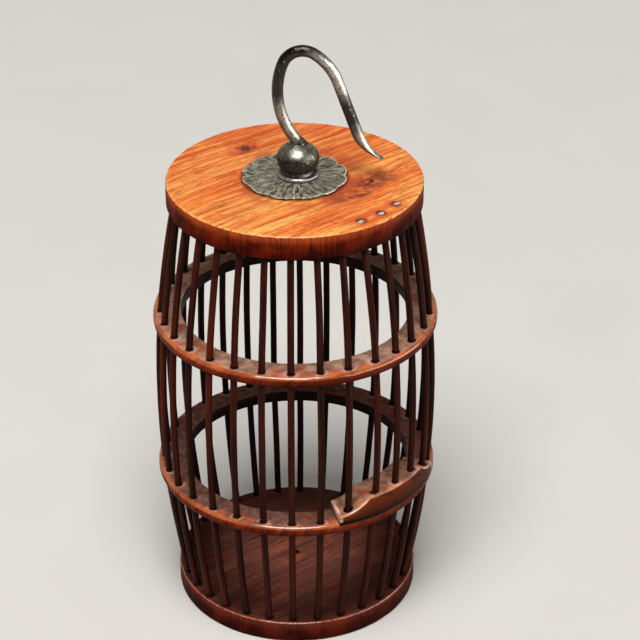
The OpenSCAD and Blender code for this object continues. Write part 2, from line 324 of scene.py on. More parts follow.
class Value:
    """A socket of a node tree, with sums that add Math nodes."""

    def __init__(self, tree, socket=None):
        self.tree = tree
        self.socket = socket

    def node(self, kind, settings=None, sockets=None, output=0):
        """Adds a node: its settings first, then the values or links of its sockets. A colour is
        written as on a screen, in three parts from 0 to 255."""
        made = self.tree.nodes.new(kind)
        for name, setting in (settings or {}).items():
            setattr(made, name, setting)
        for key, value in (sockets or {}).items():
            if isinstance(value, Value):
                self.tree.links.new(value.socket, made.inputs[key])
            elif made.inputs[key].type == "RGBA":
                made.inputs[key].default_value = screen_colour(*value)
            else:
                made.inputs[key].default_value = value
        return Value(self.tree, made.outputs[output])

    def math(self, operation, *values):
        return self.node("ShaderNodeMath", {"operation": operation}, dict(enumerate(values)))

    def __add__(self, other):
        return self.math("ADD", self, other)

    __radd__ = __add__

    def __sub__(self, other):
        return self.math("SUBTRACT", self, other)

    def __rsub__(self, other):
        return self.math("SUBTRACT", other, self)

    def __mul__(self, other):
        return self.math("MULTIPLY", self, other)

    __rmul__ = __mul__

    def __truediv__(self, other):
        return self.math("DIVIDE", self, other)

    def __rtruediv__(self, other):
        return self.math("DIVIDE", other, self)

    def __pow__(self, other):
        return self.math("POWER", self, other)

    def __rpow__(self, other):
        return self.math("POWER", other, self)

    def __abs__(self):
        return self.math("ABSOLUTE", self)

    def __round__(self):
        return self.math("ROUND", self)

    def larger(self, other):
        return self.math("MAXIMUM", self, other)

    def rise(self, low, high):
        """0 below low, 1 above high, and smooth between them. It falls where low is above high."""
        settings = {"interpolation_type": "SMOOTHSTEP"}
        return self.node("ShaderNodeMapRange", settings, {0: self, 1: low, 2: high})

    def split(self):
        parts = self.node("ShaderNodeSeparateXYZ", None, {0: self}).socket.node.outputs
        return [Value(self.tree, part) for part in parts]

    def joined(self, x, y, z):
        return self.node("ShaderNodeCombineXYZ", None, {0: x, 1: y, 2: z})

    def vector(self, operation, other):
        return self.node("ShaderNodeVectorMath", {"operation": operation}, {0: self, 1: other})

    def scaled(self, factor):
        return self.node("ShaderNodeVectorMath", {"operation": "SCALE"}, {0: self, "Scale": factor})

    def sized(self, x, y, z):
        """The vector in units of three lengths."""
        return self.vector("DIVIDE", (x, y, z))

    def noise(self, detail=2.0, roughness=0.5):
        sockets = {"Vector": self, "Scale": 1.0, "Detail": detail, "Roughness": roughness}
        return self.node("ShaderNodeTexNoise", None, sockets)

    def blotches(self, size, detail=2.0, roughness=0.5):
        """Noise of one size in all directions."""
        return self.sized(size, size, size).noise(detail, roughness)

    def tones(self, low, high):
        """Colour that goes from low, where the value is 0, to high, where it is 1."""
        return self.node("ShaderNodeMix", {"data_type": "RGBA"}, {0: self, 6: low, 7: high}, 2)

    def layered(self, *layers):
        """The colour under layers of others, each given as (colour, share)."""
        colour = self
        for other, share in layers:
            colour = self.node("ShaderNodeMix", {"data_type": "RGBA"}, {0: share, 6: colour, 7: other}, 2)
        return colour

    def shade(self, share, colour):
        """Multiplies a colour by another where share is 1."""
        settings = {"data_type": "RGBA", "blend_type": "MULTIPLY"}
        return self.node("ShaderNodeMix", settings, {0: share, 6: self, 7: colour}, 2)

    def bumped(self, height, strength):
        """Normal of a surface raised by self, of which 1 stands for the height in metres."""
        sockets = {"Height": self, "Strength": strength, "Distance": height}
        return self.node("ShaderNodeBump", None, sockets)


def screen_colour(red, green, blue):
    """A colour written as on a screen, 0 to 255, as the linear values that nodes take."""
    parts = [part / 255 for part in (red, green, blue)]
    return tuple(p / 12.92 if p < 0.04045 else ((p + 0.055) / 1.055) ** 2.4 for p in parts) + (1.0,)


def new_finish(name):
    """A material, its shader, and the place on the piece in millimetres."""
    finish = bpy.data.materials.new(name)
    finish.use_nodes = True
    shader = finish.node_tree.nodes["Principled BSDF"]
    place = Value(finish.node_tree).node("ShaderNodeTexCoord", None, None, "Object")
    return finish, shader, place.sized(MM, MM, MM)


def feed(shader, **values):
    """Links what changes over the surface to the shader, and sets what doesn't."""
    for name, value in values.items():
        socket = shader.inputs[name.replace("_", " ").title().replace("Ior", "IOR")]
        if isinstance(value, Value):
            value.tree.links.new(value.socket, socket)
        else:
            socket.default_value = value


def normal_parts(place):
    return place.node("ShaderNodeTexCoord", None, None, "Normal").split()


def upward(place):
    """How far the surface faces up, from -1 to 1."""
    return normal_parts(place)[2]


def from_axis(place):
    """Distance from the axis of the cage in millimetres."""
    x, y = place.split()[:2]
    return (x * x + y * y) ** 0.5


def turn_of(place):
    """Turn about the axis of the cage."""
    x, y = place.split()[:2]
    return place.math("ARCTAN2", y, x)


def nearest_bar(place, reach):
    """Distance in millimetres to the middle of the nearest bar, where bars stand at a reach."""
    radius = from_axis(place)
    turns = (turn_of(place) - front_bar_turn) / bar_pitch
    sideways = (turns - round(turns)) * bar_pitch * radius
    outwards = radius - reach / MM
    return (sideways * sideways + outwards * outwards) ** 0.5


def board_grain(place, turn, level, lean, knots):
    """Place in a board, in millimetres along, across and through its grain. Its lines lean as
    they go up from a level, and swell round knots, each given as (x, y, size, eye). A knot with
    an eye of 0 is only a cloud. The share of the knots and of their eyes are also given back."""
    turned_place = place.node("ShaderNodeMapping", {"vector_type": "TEXTURE"},
                              {"Vector": place, "Rotation": (0, 0, turn)})
    along, across, through = turned_place.split()
    drift = place.blotches(48, 1.0) - 0.5
    across = across + (through - level / MM) * lean + drift * 5
    heart = across * 0
    ring = across * 0
    for x, y, size, eye in knots:
        knot_along = x * math.cos(turn) + y * math.sin(turn)
        knot_across = y * math.cos(turn) - x * math.sin(turn)
        u = (along - knot_along) / (2 * size)
        v = (across - knot_across) / size
        near = u * u + v * v
        swell = place.math("EXPONENT", near * -1)
        across = across + swell * (1.2 * size * eye)
        heart = heart + swell
        ring = ring + near.rise(0.02, 0.05) * near.rise(0.14, 0.07) * eye
    return place.joined(along, across, through), heart, ring


def disc_wood(name, turn, lean, knots, radius, height, tones, dust, stain, holes=None):
    """Oiled hardwood board: bands and lines along the grain, open pores, paler worn edges, and
    a dark turned side, where the end grain has drunk more oil. The pale edges are partly wear and
    partly a painted highlight, and the side also carries painted shade, more towards its bottom,
    with a painted band of light along its top. The grey tone is that of dust and of the clouds
    round knots, and stain is the reach of a patch of dirt in the middle; a dark ring some 9 to 10 mm
    inside that reach, round the rosette's edge, is painted shade. The walls of holes and the
    underside get painted shade, and where dust lies the top darkens towards the ring of bars,
    partly from dirt and partly from painted shade. holes, if given, is the distance from open
    holes, round which hands have left dirt."""
    pale, main, ruddy, dark, pore, grey, side_dark, side_warm = tones
    finish, shader, place = new_finish(name)
    grain, heart, ring = board_grain(place, turn, height, lean, knots)
    bands = grain.sized(80, 7, 30).noise()
    stripes = grain.sized(30, 1.9, 16).noise(3.0, 0.62)
    threads = grain.sized(14, 0.6, 8).noise(2.0, 0.6)
    dashes = grain.sized(4, 0.5, 3).noise(1.0)
    pores = grain.sized(2.2, 0.26, 1.2).noise(1.0).rise(0.62, 0.72)
    clouds = place.blotches(22)
    smoke = place.blotches(6, 3.0, 0.6)
    mottle = place.blotches(2.2, 3.0, 0.6)
    reach = from_axis(place)
    edge = radius / MM
    below = height / MM - place.split()[2]
    facing = upward(place)
    top = facing.rise(0.8, 0.97)
    stained = reach.rise(stain, stain - 9) * (smoke * 0.5 + clouds * 0.5).rise(0.36, 0.58)
    colour = bands.rise(0.38, 0.60).tones(main, pale).layered(
        (ruddy, clouds.rise(0.46, 0.66) * 0.5),
        (ruddy, grain.split()[1].rise(-4, 30) * 0.5),
        (ruddy, stripes.rise(0.48, 0.58) * 0.6),
        (dark, stripes.rise(0.55, 0.70) * (0.35 + 0.35 * bands.rise(0.6, 0.4))),
        (pale, stripes.rise(0.46, 0.34) * 0.65),
        (dark, threads.rise(0.54, 0.70) * 0.5),
        (pale, threads.rise(0.45, 0.30) * 0.5),
        (dark, dashes.rise(0.56, 0.68) * 0.6),
        (pore, pores * 0.45),
        (ruddy, heart.rise(0.04, 0.4) * 0.6),
        (grey, heart.rise(0.06, 0.5) * smoke.rise(0.38, 0.56) * 0.8),
        (pore, heart.rise(0.3, 0.9) * mottle.rise(0.40, 0.60) * 0.5 + ring * 0.7),
        (ruddy, stained * 0.7),
        (grey, stained * 0.3),
        # Painted shade: a dark ring round the rosette's edge
        (pore, reach.rise(stain - 9, stain - 10.3) * 0.7),
    )
    if holes:
        around = holes(place) + mottle
        colour = colour.layered((ruddy, around.rise(8, 3) * 0.6), (grey, around.rise(3.5, 2.3) * 0.85))
    # The turned side: darker end grain with painted shade, more of it towards the bottom, and a painted band of light
    # along its top
    streaks = place.sized(0.6, 0.6, 14).noise(3.0, 0.7)
    side_tone_and_shade = (streaks * 0.4 + place.blotches(9) * 0.6).rise(0.40, 0.61).tones(side_dark, side_warm)
    painted_top_light = below.rise(4.5, 0.8) * (0.3 + 0.25 * streaks.rise(0.40, 0.60))
    side_tone_and_shade = side_tone_and_shade.layered((ruddy, painted_top_light)).shade(below.rise(2, 10), (176, 140, 120))
    side = facing.rise(0.7, 0.35)
    # Pale edge: partly wear, partly a painted highlight
    rubbed_and_highlight = reach.rise(edge - 1.1, edge - 0.5) * facing.rise(0.25, 0.6)
    scuffs = place.blotches(1.3).rise(0.42, 0.60)
    lying = top * place.blotches(9, 3.0, 0.6).rise(0.32, 0.62) * dust
    colour = colour.layered((side_tone_and_shade, side), (pale, rubbed_and_highlight * scuffs * 0.9), (grey, lying))
    top_dirt_and_shade = top * min(1, 2 * dust)
    # Darker towards the ring of bars where dust lies: partly dirt, partly painted shade
    colour = colour.shade(top_dirt_and_shade * reach.rise(16, 44), (150, 142, 140))
    grime = (nearest_bar(place, bar_reach(height)) + mottle * 2).rise(3.6, 2.1) * top_dirt_and_shade
    # Painted shade in the walls of holes and on the underside
    hole_shade = below.rise(0.15, 0.5) * reach.rise(edge - 0.6, edge - 1.4)
    colour = colour.layered((pore, hole_shade.larger(grime)))
    relief = stripes * 0.5 + threads * 0.35 - pores * 0.8
    feed(shader, base_color=colour,
         roughness=0.42 + pores * 0.2 + lying * 0.3 + mottle * 0.08 + side * 0.15,
         specular_ior_level=0.03, coat_weight=rubbed_and_highlight * 0.8, coat_roughness=0.18,
         normal=relief.bumped(0.1 * MM, 0.4))
    return finish


base_disc = turned("base_disc", disc_outline(0, base_top, base_radius), disc_steps)
hand_worn(base_disc, disc_unevenness, base_nicks)
above_base = base_top + bar_set
bar_foot = base_top - bar_set
base_sockets = [bar_hole(number, bar_foot, above_base, hole_gap) for number in range(bar_count)]
base_sockets.append(upright_hole(Vector(), base_top - centre_hole_depth, above_base, centre_hole_width))
drilled(base_disc, base_sockets)
smooth(base_disc)
# The last two tones, of the turned side, are darkened partly by painted shade
base_tones = ((192, 108, 80), (150, 76, 58), (118, 57, 46), (80, 36, 27), (34, 17, 14),
              (112, 78, 70), (54, 12, 3), (94, 31, 11))
base_grain_turn = math.radians(38)
base_grain_lean = 0.3
base_dust = 0.65
base_wood = disc_wood("Base wood", base_grain_turn, base_grain_lean, [], base_radius, base_top,
                      base_tones, base_dust, 0)
fitted(base_disc, base_wood, "cage", "disc_wood", "base")

# Bars: thin rods of a very dark hardwood, shaved by hand and bent over heat to one arc. They
# are glued in the base and the lid and pass through both hoops. Three short ones end in the
# lower hoop, below the door.
lower_hoop_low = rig.box("lower_hoop")[0].z
lower_hoop_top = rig.box("lower_hoop")[1].z
upper_hoop_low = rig.box("upper_hoop")[0].z
upper_hoop_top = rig.box("upper_hoop")[1].z
hoop_skin = 1.0 * MM
door_numbers = (3, 4, 5)
guide_numbers = (2, 6)
fixed_numbers = [number for number in range(bar_count) if number not in door_numbers]
bar_step = 2.5 * MM
bar_sides = 16
bar_sharp = 50
bar_unevenness = 0.07 * MM
bar_ridge = 16 * MM
ridge_width = 0.9
grain_steps = (7.3, 3.1)
bar_sway = 0.16 * MM
sway_seed = 11
fixings = (base_top, lower_hoop_low, lower_hoop_top, upper_hoop_low, upper_hoop_top, lid_underside)


def free_share(height):
    """0 where a bar is held, rising to 1 in the middle of a free stretch."""
    for low, high in zip(fixings, fixings[1:]):
        if low < height < high:
            return math.sin(math.pi * (height - low) / (high - low)) ** 2
    return 0.0


def bar_route(turn, low, high, sway, lot):
    """Points along a bent bar, which sways a little to one side where nothing holds it."""
    steps = round((high - low) / bar_step)
    aside = Vector((-math.sin(turn), math.cos(turn), 0)) * sway * lot.uniform(-1, 1)
    outwards = Vector((math.cos(turn), math.sin(turn), 0)) * sway * lot.uniform(-1, 1)
    heights = [low + (high - low) * i / steps for i in range(steps + 1)]
    return [bar_point(turn, height) + (aside + outwards) * free_share(height) for height in heights]


def routes_object(name, routes):
    """Curve object with one straight-segment path for each route."""
    curve = bpy.data.curves.new(name, "CURVE")
    curve.dimensions = "3D"
    for route in routes:
        path = curve.splines.new("POLY")
        path.points.add(len(route) - 1)
        for point, place in zip(path.points, route):
            point.co = (*place, 1)
    return placed(name, curve)


def new_tree(name, inputs):
    """Geometry node tree with named inputs. Gives back the tree and its inputs as values."""
    tree = bpy.data.node_groups.new(name, "GeometryNodeTree")
    tree.is_modifier = True
    tree.interface.new_socket("Geometry", in_out="OUTPUT", socket_type="NodeSocketGeometry")
    for label, kind in inputs.items():
        tree.interface.new_socket(label, in_out="INPUT", socket_type="NodeSocket" + kind)
    entry = tree.nodes.new("NodeGroupInput")
    return tree, [Value(tree, entry.outputs[label]) for label in inputs]


def stored(geometry, name, value):
    """Geometry whose points keep a vector under a name."""
    settings = {"data_type": "FLOAT_VECTOR", "domain": "POINT"}
    sockets = {"Geometry": geometry, "Name": name, "Value": value}
    return geometry.node("GeometryNodeStoreNamedAttribute", settings, sockets)


def recalled(start, name):
    """The vector that points keep under a name."""
    return start.node("GeometryNodeInputNamedAttribute", {"data_type": "FLOAT_VECTOR"}, {"Name": name})


def circle(start, sides, width):
    return start.node("GeometryNodeCurvePrimitiveCircle", None, {"Resolution": sides, "Radius": width / 2})


def swept(paths, section):
    """Closed rods of a section along paths."""
    sockets = {"Curve": paths, "Profile Curve": section, "Fill Caps": True}
    return paths.node("GeometryNodeCurveToMesh", None, sockets)


def raised(geometry, height):
    """Geometry with its surface moved outwards by a height."""
    offset = geometry.node("GeometryNodeInputNormal").scaled(height)
    return geometry.node("GeometryNodeSetPosition", None, {"Geometry": geometry, "Offset": offset})


def finish_tree(tree, geometry, material):
    """Ends a tree in plain geometry with its material."""
    plain = geometry.node("GeometryNodeRealizeInstances", None, {"Geometry": geometry})
    shown = plain.node("GeometryNodeSetMaterial", None, {"Geometry": plain, "Material": material})
    leave = tree.nodes.new("NodeGroupOutput")
    tree.links.new(shown.socket, leave.inputs[0])
    return tree


def grown(name, routes, tree, values):
    """Plain mesh piece of what a tree makes of routes."""
    holder = routes_object(name, routes)
    maker = holder.modifiers.new(name, "NODES")
    maker.node_group = tree
    for item in tree.interface.items_tree:
        if item.in_out == "INPUT" and item.name in values:
            maker[item.identifier] = values[item.name]
    evaluated = holder.evaluated_get(bpy.context.evaluated_depsgraph_get())
    mesh = bpy.data.meshes.new_from_object(evaluated)
    mesh.name = name
    curve = holder.data
    bpy.data.objects.remove(holder)
    bpy.data.curves.remove(curve)
    return placed(name, mesh)


def bar_tree():
    """Round rods along paths, uneven from the scraper. Each point keeps its place in the grain."""
    tree, (paths, width, sides, unevenness, ridge, wood) = new_tree("Shaved bars", {
        "Paths": "Geometry", "Width": "Float", "Sides": "Int", "Unevenness": "Float",
        "Ridge Length": "Float", "Wood": "Material"})
    start = Value(tree)
    along = start.node("GeometryNodeSplineParameter", None, None, "Length")
    which = start.node("GeometryNodeCurveOfPoint", None, None, "Curve Index")
    place = start.node("GeometryNodeInputPosition")
    section = stored(circle(start, sides, width), "round", place.scaled(2 / width))
    paths = stored(paths, "along", place.joined(which * grain_steps[0], which * grain_steps[1], along))
    grain = recalled(start, "along").vector("ADD", recalled(start, "round"))
    rods = stored(swept(paths, section), "grain", grain)
    scraped = grain.vector("DIVIDE", place.joined(ridge_width, ridge_width, ridge)).noise() - 0.5
    return finish_tree(tree, raised(rods, scraped * 2 * unevenness), wood)


def outward(place):
    """How far the surface faces away from the axis of the cage, from -1 to 1."""
    normal = normal_parts(place)
    x, y = place.split()[:2]
    return (normal[0] * x + normal[1] * y) / (x * x + y * y) ** 0.5


def bar_wood(name):
    """Dark close-grained wood with a hand-polished sheen, blackened by dirt at its joints. The
    ends that show in the lid are pale and dry."""
    finish, shader, place = new_finish(name)
    grain = place.node("ShaderNodeAttribute", {"attribute_name": "grain"}, None, "Vector")
    streaks = grain.sized(0.55, 0.55, 28 * MM).noise(3.0, 0.6)
    fine = grain.sized(0.22, 0.22, 5 * MM).noise(2.0, 0.6)
    tone = grain.sized(5, 5, 90 * MM).noise(1.0)
    specks = grain.sized(0.5, 0.5, 0.5 * MM).noise(1.0).rise(0.76, 0.82)
    height = place.split()[2]
    held = height.rise(base_top / MM + 2.5, base_top / MM)
    for low, high in ((lower_hoop_low, lower_hoop_top), (upper_hoop_low, upper_hoop_top)):
        held = held + height.rise(low / MM - 1, low / MM) * height.rise(high / MM + 2.2, high / MM + 0.2)
    held = held + height.rise(lid_underside / MM - 4, lid_underside / MM)
    dirt_and_shade = held.rise(0.0, 1.0)
    # Painted shade on the sides that face into the cage
    inner = outward(place).rise(0.35, -0.35)
    end = height.rise(lid_top / MM - 0.25, lid_top / MM - 0.1)
    end_grain = place.blotches(0.7, 2.0, 0.6).rise(0.35, 0.65).tones((160, 150, 140), (218, 212, 204))
    colour = streaks.rise(0.34, 0.66).tones((34, 11, 6), (67, 25, 14)).layered(
        ((92, 29, 13), tone.rise(0.44, 0.66) * 0.7),
        ((24, 10, 7), tone.rise(0.42, 0.28) * 0.6),
        ((28, 11, 8), fine.rise(0.52, 0.72) * 0.7),
        ((150, 112, 88), specks * 0.5),
        ((20, 10, 8), dirt_and_shade * 0.8),
        ((18, 9, 7), inner * 0.8),
        (end_grain, end),
    )
    relief = streaks * 0.6 + fine * 0.4
    feed(shader, base_color=colour, roughness=0.34 + fine * 0.16 + dirt_and_shade * 0.2 + inner * 0.2,
         specular_ior_level=0.04, normal=relief.bumped(0.06 * MM, 0.5))
    return finish


bar_stock = bar_tree()
dark_wood = bar_wood("Bar wood")
bar_sizes = {"Width": bar_width, "Sides": bar_sides, "Unevenness": bar_unevenness,
             "Ridge Length": bar_ridge, "Wood": dark_wood}
lot = random.Random(sway_seed)
fixed_routes = []
for number in fixed_numbers:
    sway = 0 if number in guide_numbers else bar_sway
    fixed_routes.append(bar_route(bar_turn(number), bar_foot, lid_underside + bar_set, sway, lot))
bent_bars = grown("bent_bars", fixed_routes, bar_stock, bar_sizes)
smooth(bent_bars, bar_sharp)
fitted(bent_bars, dark_wood, "cage", "bar_wood", *[f"bar_{number + 1:02d}" for number in fixed_numbers])
short_top = lower_hoop_top - hoop_skin
short_routes = [bar_route(bar_turn(number), bar_foot, short_top, bar_sway, lot) for number in door_numbers]
short_bars = grown("short_bars", short_routes, bar_stock, bar_sizes)
smooth(short_bars, bar_sharp)
fitted(short_bars, dark_wood, "cage", "bar_wood", "short_bar_1", "short_bar_2", "short_bar_3")

# Hoops: two flat rings turned from reddish hardwood, with a well-rounded outer edge that
# hands have polished, its pale band partly a painted highlight. Each is drilled for the bars,
# and dust lies on its top. Painted shade darkens their sides and insides.
hoop_width = 11.5 * MM
hoop_round = 1.8 * MM
hoop_inner_round = 0.4 * MM
hoop_unevenness = 0.05 * MM
hoop_nicks = 0.3 * MM
hoop_grain_lean = 0.3
slide_gap = 0.3 * MM
door_overhang = 4.4 * MM

# The three bars of the door lie in parallel planes, so that they can slide along themselves
door_sides = (-1, 0, 1)
door_middle = bar_turn(door_numbers[1])
door_foot_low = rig.box("door_foot")[0].z
door_foot_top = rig.box("door_foot")[1].z
block_half = 2 * bar_pitch + door_overhang / bar_reach(door_foot_low)
door_out = Vector((math.cos(door_middle), math.sin(door_middle), 0))
door_aside = Vector((-math.sin(door_middle), math.cos(door_middle), 0))
door_reach = (bar_reach(door_foot_top) + bar_reach(lid_top)) / 2
door_pitch = door_reach * math.sin(bar_pitch)
side_bend = bend_radius - door_reach * (1 - math.cos(bar_pitch))


def door_bar_point(side, height):
    """Place on the left, middle or right bar of the door, for a side of -1, 0 or 1."""
    bend = side_bend if side else bend_radius
    reach = bend_centre + math.sqrt(bend ** 2 - (height - bar_middle) ** 2)
    return door_out * reach + door_aside * side * door_pitch + Vector((0, 0, height))


def door_hole(side, low, high, gap):
    """Hole for a bar of the door between two heights."""
    return door_bar_point(side, low), door_bar_point(side, high), bar_width + 2 * gap


def hoop_piece(name, low, high, radius, holes):
    """Drilled ring with a large rounding outside and a small one inside."""
    support = 0.4 * MM
    outer = radius - hoop_round
    inner = radius - hoop_width + hoop_inner_round
    outline = (
        arc((outer, low + hoop_round), hoop_round, -90, 0, 10)
        + [(radius, (low + high) / 2)]
        + arc((outer, high - hoop_round), hoop_round, 0, 90, 10)
        + [(outer - support, high), (inner + support, high)]
        + arc((inner, high - hoop_inner_round), hoop_inner_round, 90, 180, 4)
        + arc((inner, low + hoop_inner_round), hoop_inner_round, 180, 270, 4)
        + [(inner + support, low), (outer - support, low)]
    )
    ring = turned(name, outline, disc_steps, ring=True)
    hand_worn(ring, hoop_unevenness, hoop_nicks)
    drilled(ring, holes)
    smooth(ring)
    return ring


def door_turn(place):
    """Turn away from the middle of the door, to either side."""
    x, y = place.split()[:2]
    aside = x * door_aside.x + y * door_aside.y
    out = x * door_out.x + y * door_out.y
    return abs(place.math("ARCTAN2", aside, out))


def hoop_wood(name, turn, radius, top, rub, dirt_and_shade, settle, shade, wear_and_highlight, dust_tones):
    """Reddish hardwood: dusty where it lies flat, bare and glossy where hands rub its edge, and
    black inside, which is painted shade. rub gives the share of the bare edge from the place and
    that of a plain edge, dirt the share of painted shade in a seam, and settle the slopes between
    which dust comes to lie. shade is the painted shade on what faces sideways and down, worn the
    tone of the bare edge, partly wear and partly a painted highlight, and dust_tones those of dust."""
    finish, shader, place = new_finish(name)
    grain = board_grain(place, turn, top, hoop_grain_lean, [])[0]
    bands = grain.sized(60, 6, 20).noise()
    lines = grain.sized(40, 1.5, 10).noise(3.0, 0.6)
    threads = grain.sized(12, 0.5, 4).noise(2.0, 0.6)
    pores = grain.sized(2.2, 0.26, 1.2).noise(1.0).rise(0.62, 0.71)
    mottle = place.blotches(3.4, 3.0, 0.55)
    wear = place.blotches(7).rise(0.38, 0.65)
    film = place.blotches(8, 3.0).rise(0.22, 0.50)
    patches = place.blotches(7, 2.0, 0.6).rise(0.43, 0.59)
    reach = from_axis(place)
    rim = radius / MM
    facing = upward(place)
    lying = facing.rise(*settle)
    bare = reach.rise(rim - 5.5, rim - 2.2) * patches
    dust = lying * film * (1 - bare * 0.7)
    joints = nearest_bar(place, bar_reach(top)) + mottle * 1.5
    edge = rub(place, reach.rise(rim - 1.9, rim - 1.1) * facing.rise(0.2, 0.6))
    # Painted shade: the inside faces are made near black
    inner = outward(place).rise(-0.3, -0.7)
    colour = bands.rise(0.38, 0.62).tones((122, 44, 18), (164, 70, 28)).layered(
        ((66, 22, 11), lines.rise(0.50, 0.70) * 0.8),
        ((190, 92, 40), threads.rise(0.56, 0.74) * 0.4),
        ((46, 18, 12), pores * 0.6),
    )
    # Painted shade on what faces sideways and down
    colour = colour.shade(facing.rise(0.45, -0.25), shade).layered(
        ((218, 106, 58), lying * bare * 0.8),
        (mottle.rise(0.3, 0.7).tones(*dust_tones), dust * 0.92),
        ((218, 202, 186), joints.rise(4.2, 3.2) * patches * lying * 0.3),
        ((30, 17, 13), joints.rise(2.9, 2.1) * lying * 0.9),
        # The bare edge's pale tone: partly wear, partly a painted highlight
        (wear_and_highlight, edge * (0.2 + 0.55 * wear)),
        # Painted shade on the inside faces
        ((15, 8, 6), inner * 0.95),
        # Painted shade in the seam under the door
        ((18, 9, 7), dirt_and_shade(place) * 0.92),
    )
    relief = lines * 0.5 + threads * 0.4 - pores * 0.7 + film * 0.3
    feed(shader, base_color=colour, roughness=0.44 + dust * 0.35 + pores * 0.15 - edge * 0.14,
         specular_ior_level=0.04, coat_weight=edge * 0.75, coat_roughness=0.15, coat_ior=1.8,
         normal=relief.bumped(0.08 * MM, 0.4))
    return finish


# Painted shade for what faces sideways and down
hoop_painted_shade = (146, 100, 80)
flat_only = (0.85, 0.985)
lower_ring_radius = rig.box("lower_hoop")[1].x
lower_holes = []
for number in range(bar_count):
    ceiling = short_top if number in door_numbers else lower_hoop_top + bar_set
    lower_holes.append(bar_hole(number, lower_hoop_low - bar_set, ceiling, hole_gap))
lower_ring = hoop_piece("lower_ring", lower_hoop_low, lower_hoop_top, lower_ring_radius, lower_holes)


def beside_door(place, edge):
    """The edge, apart from what the door shades."""
    return edge * door_turn(place).rise(block_half - 0.02, block_half + 0.02)


def door_seam_shade(place):
    """Painted shade in the seam between hoop and door."""
    under = door_turn(place).rise(block_half + 0.005, block_half - 0.005)
    return under * place.split()[2].rise(lower_hoop_top / MM - 1.7, lower_hoop_top / MM - 0.9)


lower_grain_turn = math.radians(64)
# Tone of the bare edge: partly wear, partly a painted highlight
lower_wear_and_highlight = (192, 106, 58)
lower_dust = ((92, 64, 55), (130, 95, 82))
lower_wood = hoop_wood("Lower hoop wood", lower_grain_turn, lower_ring_radius, lower_hoop_top,
                       beside_door, door_seam_shade, flat_only, hoop_painted_shade, lower_wear_and_highlight, lower_dust)
fitted(lower_ring, lower_wood, "cage", "hoop_wood", "lower_hoop")

upper_ring_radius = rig.box("upper_hoop")[1].x
upper_span = (upper_hoop_low - bar_set, upper_hoop_top + bar_set)
upper_holes = [bar_hole(number, *upper_span, hole_gap) for number in fixed_numbers]
upper_holes += [door_hole(side, *upper_span, slide_gap) for side in door_sides]
upper_ring = hoop_piece("upper_ring", upper_hoop_low, upper_hoop_top, upper_ring_radius, upper_holes)


def all_edge(place, edge):
    return edge


def nowhere(place):
    return place.split()[2] * 0


upper_grain_turn = math.radians(17)
# Tone of the bare edge: partly wear, partly a painted highlight
upper_wear_and_highlight = (208, 112, 52)
upper_dust = ((134, 100, 84), (192, 152, 127))
upper_wood = hoop_wood("Upper hoop wood", upper_grain_turn, upper_ring_radius, upper_hoop_top,
                       all_edge, nowhere, flat_only, hoop_painted_shade, upper_wear_and_highlight, upper_dust)
fitted(upper_ring, upper_wood, "cage", "hoop_wood", "upper_hoop")

# Lid: a disc of bright figured hardwood, turned like the base and oiled. The bars are glued
# in blind holes from below, the door's bars slide through three open holes near the edge, and
# the hook's pin passes through the middle.
lid_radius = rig.box("lid")[1].x
lid_nicks = 0.55 * MM
lid_gap = 0.2 * MM
pin_width = 3.6 * MM
pin_gap = 0.06 * MM
pin_place = Vector(frame["joints"][1]["pos_m"])
pin_axis = Vector((pin_place.x, pin_place.y, 0))
lid_disc = turned("lid_disc", disc_outline(lid_underside, lid_top, lid_radius), disc_steps)
hand_worn(lid_disc, disc_unevenness, lid_nicks)
below_lid = lid_underside - bar_set
above_lid = lid_top + bar_set
blind_end = lid_underside + bar_set + hole_gap
lid_holes = [bar_hole(number, below_lid, blind_end, hole_gap) for number in fixed_numbers]
lid_holes += [door_hole(side, below_lid, above_lid, lid_gap) for side in door_sides]
lid_holes.append(upright_hole(pin_axis, below_lid, above_lid, pin_width + 2 * pin_gap))
drilled(lid_disc, lid_holes)
smooth(lid_disc)


def door_holes(place):
    """Distance in millimetres to the nearest bar of the door, and a large one elsewhere."""
    beside = door_turn(place).rise(1.5 * bar_pitch, 1.6 * bar_pitch)
    return nearest_bar(place, bar_reach(lid_top)) + beside * 20


lid_knots = [(-20, 25, 3.2, 1), (27.7, -5.6, 6.5, 1), (20, -14.5, 4.5, 0)]
# The last two tones, of the turned side, are darkened partly by painted shade
lid_tones = ((253, 181, 96), (241, 131, 60), (213, 92, 47), (162, 64, 36), (84, 36, 22),
             (124, 64, 50), (64, 9, 1), (124, 39, 7))
lid_grain_turn = math.radians(40)
lid_grain_lean = 0.15
lid_stain = 31
lid_wood = disc_wood("Lid wood", lid_grain_turn, lid_grain_lean, lid_knots, lid_radius, lid_top,
                     lid_tones, 0.0, lid_stain, door_holes)
fitted(lid_disc, lid_wood, "cage", "disc_wood", "lid")

# Door: a curved block that rests on the lower hoop, scooped at both ends for a thumb. Three
# bars are glued in it and slide up through the upper hoop and the lid, and the fixed bar on
# either side runs in a loose hole through the block.
door_proud = 0.5 * MM
door_edge_round = 0.7 * MM
door_inner_round = 0.3 * MM
end_round = 0.35 * MM
scoop_length = 13 * MM
scoop_drop = 5.4 * MM
scoop_radius = 20 * MM
guide_gap = 0.65 * MM
block_steps = 96
block_outer = lower_ring_radius + door_proud
block_inner = lower_ring_radius - hoop_width
scoop_turn = block_half - scoop_length / block_outer
scoop_run = block_outer * math.sin(block_half - scoop_turn)
scoop_chord = math.hypot(scoop_run, scoop_drop)
scoop_lift = math.sqrt(scoop_radius ** 2 - scoop_chord ** 2 / 4)
scoop_middle = scoop_run / 2 + scoop_lift * scoop_drop / scoop_chord
scoop_height = scoop_lift * scoop_run / scoop_chord - scoop_drop / 2


